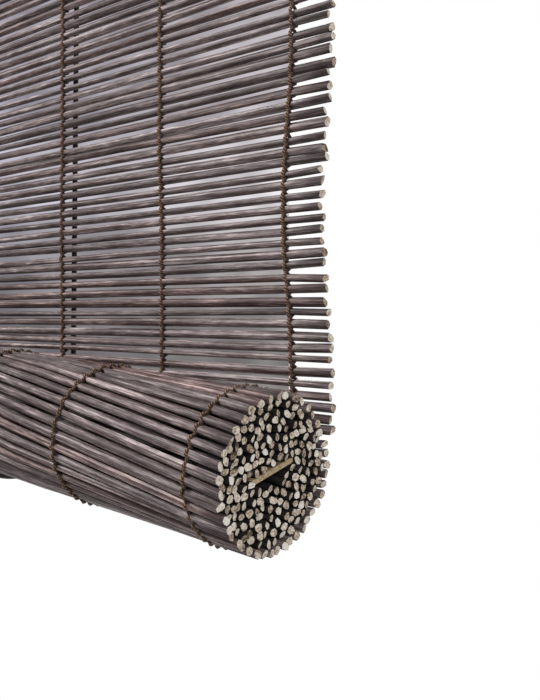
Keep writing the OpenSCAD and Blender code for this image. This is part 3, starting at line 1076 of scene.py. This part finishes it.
def floor():
    bm = bmesh.new()
    place = Matrix.Translation((0, 0, floor_z))
    bmesh.ops.create_circle(bm, cap_ends=True, segments=96, radius=floor_r, matrix=place)
    mesh = bpy.data.meshes.new("floor")
    bm.to_mesh(mesh)
    bm.free()
    mesh.materials.append(floor_finish())
    made = bpy.data.objects.new("floor", mesh)
    bpy.context.scene.collection.objects.link(made)
    return made


print("floor at", floor().data.vertices[0].co.z)

# %% Glowing card with the painted shade of the wall behind the mat
image_w, image_h = 540, 700
card_left, card_right, card_top, card_bottom = -2, 289, -2, 400
card_distance = 4.0


def at_pixel(x, y, distance):
    """The point that far ahead of the camera which shows at this pixel of the image."""
    sensor = camera.data.sensor_width / camera_lens * distance
    side = (x - image_w / 2) / image_h * sensor
    up = ((image_h / 2 - y) / image_h + camera_shift) * sensor
    turn = Matrix.Rotation(camera_turn, 3, "Z")
    return Vector(camera_place) + turn @ Vector((side, distance, up))


def card():
    pixels = [(card_left, card_bottom), (card_right, card_bottom),
              (card_right, card_top), (card_left, card_top)]
    corners = [at_pixel(x, y, card_distance) for x, y in pixels]
    bm = bmesh.new()
    bm.loops.layers.uv.verify()
    grid = bmesh.ops.create_grid(bm, x_segments=1, y_segments=1, size=1, calc_uvs=True)["verts"]
    for vert in grid:
        u, v = (vert.co.x + 1) / 2, (vert.co.y + 1) / 2
        vert.co = corners[0].lerp(corners[1], u).lerp(corners[3].lerp(corners[2], u), v)
    mesh = bpy.data.meshes.new("wall_card")
    bm.to_mesh(mesh)
    bm.free()
    made = bpy.data.objects.new("wall_card", mesh)
    bpy.context.scene.collection.objects.link(made)
    for ray in ("diffuse", "glossy", "transmission", "volume_scatter", "shadow"):
        setattr(made, f"visible_{ray}", False)
    wall_glow = bpy.data.materials.new("wall_painted_shade")
    wall_glow.use_nodes = True
    tree = wall_glow.node_tree
    tree.nodes.clear()
    along, up = tube_map(tree)
    # The card glows with painted shade of the wall: lighter to the right, darker at its foot near the roll,
    # with a bright band and soft patches.
    across = ramp(tree, along, (0.0, paint(214, 213, 226)), (0.5, paint(214, 210, 216)),
                  (1.0, paint(252, 249, 251)))
    foot = ramp(tree, up, (0.08, paint(150, 149, 146)), (0.38, paint(196, 195, 193)),
                (0.50, paint(255, 255, 255)), (0.58, paint(250, 249, 250)), (0.74, paint(214, 211, 214)))
    patches = noise(tree, (4, 4, 6), detail=1.0)
    cloud = ramp(tree, patches, (0.36, paint(206, 205, 207)), (0.64, paint(250, 250, 250)))
    shade = mixed(tree, 1.0, mixed(tree, 1.0, across, foot, "MULTIPLY"), cloud, "MULTIPLY")
    glow = Wire.node(tree, "ShaderNodeEmission", values={"Color": shade})
    out = tree.nodes.new("ShaderNodeOutputMaterial")
    tree.links.new(glow.socket, out.inputs["Surface"])
    mesh.materials.append(wall_glow)
    return made


print("card:", card().name)

# %% World and lamps
world_light = 0.36


def world():
    made = bpy.data.worlds.new("studio")
    made.use_nodes = True
    tree = made.node_tree
    back = tree.nodes["Background"]
    back.inputs["Color"].default_value = (1, 1, 1, 1)
    seen, through = [Wire.node(tree, "ShaderNodeLightPath", output=f"Is {ray} Ray")
                     for ray in ("Camera", "Transmission")]
    strength = seen.maths("MAXIMUM", seen, through) * (1 - world_light) + world_light
    tree.links.new(strength.socket, back.inputs["Strength"])
    bpy.context.scene.world = made


def lamp(name, place, target, size, power):
    made = bpy.data.objects.new(name, bpy.data.lights.new(name, "AREA"))
    made.data.shape = "DISK"
    made.data.size = size
    made.data.energy = power
    made.location = place
    made.rotation_euler = (Vector(target) - Vector(place)).to_track_quat("-Z", "Y").to_euler()
    bpy.context.scene.collection.objects.link(made)


world()
lamp("key_lamp", (-0.65, -1.1, 0.7), (0.1, -0.03, -0.45), 0.8, 34)
lamp("side_lamp", (1.5, -0.5, 0.1), (0.28, -0.05, -0.6), 0.8, 7)
lamp("back_lamp", (-0.5, 1.4, 0.5), (0, 0, -0.35), 0.8, 22)
print("lamps:", len(bpy.data.lights))
